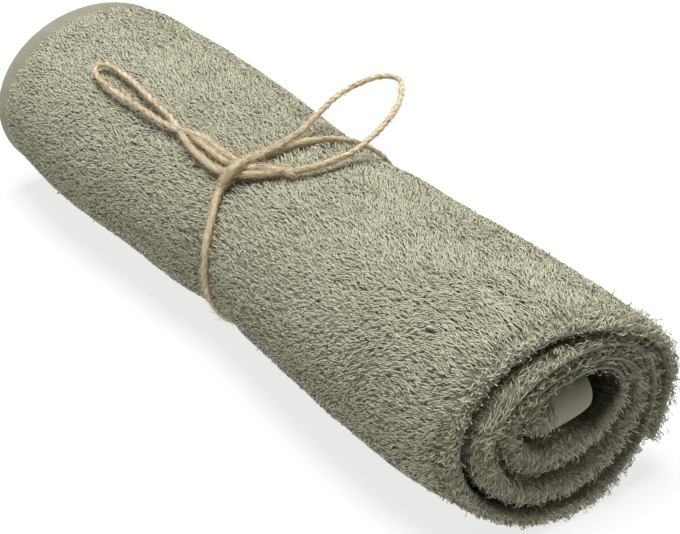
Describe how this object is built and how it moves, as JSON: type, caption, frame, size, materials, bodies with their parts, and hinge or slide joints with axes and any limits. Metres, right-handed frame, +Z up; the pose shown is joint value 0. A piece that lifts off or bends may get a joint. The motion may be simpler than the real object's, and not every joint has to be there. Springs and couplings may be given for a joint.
{
  "type": "rolled bath towel",
  "caption": "Terry bath towel, folded along its length and rolled into an oval cylinder, tied round its middle with a bow of jute twine.",
  "frame": {"origin": "middle of the roll's box, on the surface that it rests on", "axes": "+X along the roll, towards the end that shows the spiral of folded edges; +Z up; the bow is on top, towards -Y, and the towel's outer end lies on the +Y side"},
  "size_m": [0.371, 0.1286, 0.0984],
  "materials": {
    "terry_cloth": "matte cotton terry, long uncut loops",
    "jute_twine": "matte natural two-ply jute"
  },
  "bodies": {
    "root": {"towel_roll": "terry_cloth", "twine_tie": "jute_twine"}
  },
  "joints": []
}
